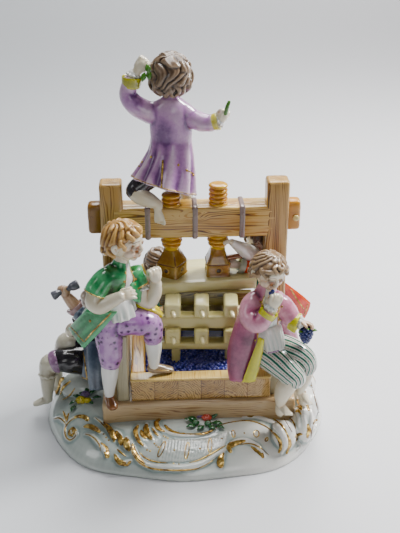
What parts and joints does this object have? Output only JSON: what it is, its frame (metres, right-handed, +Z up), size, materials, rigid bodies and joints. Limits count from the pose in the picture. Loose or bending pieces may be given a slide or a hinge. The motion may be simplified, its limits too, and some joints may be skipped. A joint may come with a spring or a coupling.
{
  "type": "porcelain figure group",
  "caption": "Glazed porcelain group of children working a screw wine press, standing on a low scrolled and gilded base.",
  "frame": {"origin": "on the surface the group stands on, under the middle of its bounding box", "axes": "+Z up, -Y towards the front with the trough, +X to the viewer's right"},
  "size_m": [0.1916, 0.1647, 0.233],
  "materials": {
    "porcelain": "white porcelain under a clear gloss glaze, painted in enamel colours with gilded relief"
  },
  "bodies": {
    "root": {"porcelain_group": "porcelain"}
  },
  "joints": []
}
